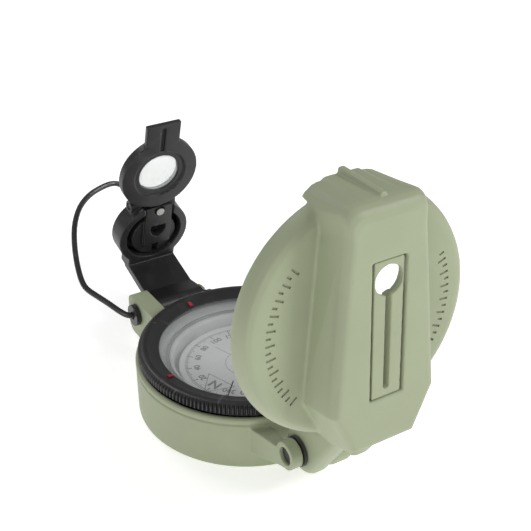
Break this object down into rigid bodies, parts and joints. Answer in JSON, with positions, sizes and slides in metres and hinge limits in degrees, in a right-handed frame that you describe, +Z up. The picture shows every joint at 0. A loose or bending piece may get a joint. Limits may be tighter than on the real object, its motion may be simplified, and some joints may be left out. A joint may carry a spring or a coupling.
{
  "type": "sighting compass",
  "caption": "Folding sighting compass: round dial capsule with a turning bezel, hinged cover with a keyhole sight, hinged magnifier bracket and a wire thumb loop.",
  "frame": {"origin": "centre of the base's flat underside, on the dial's axis", "axes": "+Z up along the dial's axis, +Y along the line of sight from the lens bracket to the cover's hinge, +X to the side that holds the thumb loop's boss"},
  "size_m": [0.054, 0.1302, 0.0769],
  "materials": {
    "case_green": "satin moulded plastic",
    "moulded_black": "satin black plastic",
    "wire_black": "black coated wire",
    "capsule_white": "white moulded plastic",
    "card_white": "printed white card",
    "pin_steel": "plain steel pin",
    "jewel_brass": "turned brass",
    "magnet_grey": "plain magnet steel",
    "clear_window": "clear acrylic",
    "seal_rubber": "black rubber",
    "index_red": "red paint fill"
  },
  "bodies": {
    "base": {"base_case": "case_green", "base_plate": "case_green", "cover_hinge_pin": "pin_steel", "hinge_washer_left": "moulded_black", "hinge_washer_right": "moulded_black", "bracket_hinge_pin": "pin_steel", "bezel_spring": "pin_steel", "capsule_cup": "capsule_white", "capsule_seal": "seal_rubber", "capsule_window": "clear_window", "dial_pivot": "pin_steel"},
    "dial": {"dial_card": "card_white", "dial_jewel": "jewel_brass", "dial_magnet_left": "magnet_grey", "dial_magnet_right": "magnet_grey"},
    "bezel": {"bezel_ring": "moulded_black", "bezel_glass": "clear_window", "index_mark_left": "index_red", "index_mark_right": "index_red"},
    "cover": {"cover_shell": "case_green", "sight_insert": "case_green"},
    "bracket": {"lens_bracket": "moulded_black", "bracket_disc": "moulded_black", "bracket_rivet": "pin_steel", "eyepiece_hinge_pin": "pin_steel"},
    "eyepiece": {"eyepiece_ring": "moulded_black", "magnifier_lens": "clear_window", "lens_retainer": "moulded_black"},
    "loop": {"thumb_loop": "wire_black", "loop_boss": "wire_black"}
  },
  "joints": [
    {"name": "cover_fold", "type": "hinge", "parent": "base", "child": "cover", "pos_m": [0, 0.0355, 0.0118], "axis": [1, 0, 0], "range_deg": [0, 87]},
    {"name": "bracket_fold", "type": "hinge", "parent": "base", "child": "bracket", "pos_m": [0, -0.0364, 0.0087], "axis": [1, 0, 0], "range_deg": [-35, 10]},
    {"name": "eyepiece_fold", "type": "hinge", "parent": "bracket", "child": "eyepiece", "pos_m": [0, -0.05041, 0.03327], "axis": [1, 0, 0], "range_deg": [0, 75]},
    {"name": "loop_swing", "type": "hinge", "parent": "base", "child": "loop", "pos_m": [0, -0.0364, 0.0087], "axis": [1, 0, 0], "range_deg": [0, 90]},
    {"name": "bezel_turn", "type": "hinge", "parent": "base", "child": "bezel", "pos_m": [0, 0, 0.0157], "axis": [0, 0, 1], "continuous": true},
    {"name": "dial_turn", "type": "hinge", "parent": "base", "child": "dial", "pos_m": [0, 0, 0.0098], "axis": [0, 0, 1], "continuous": true}
  ]
}
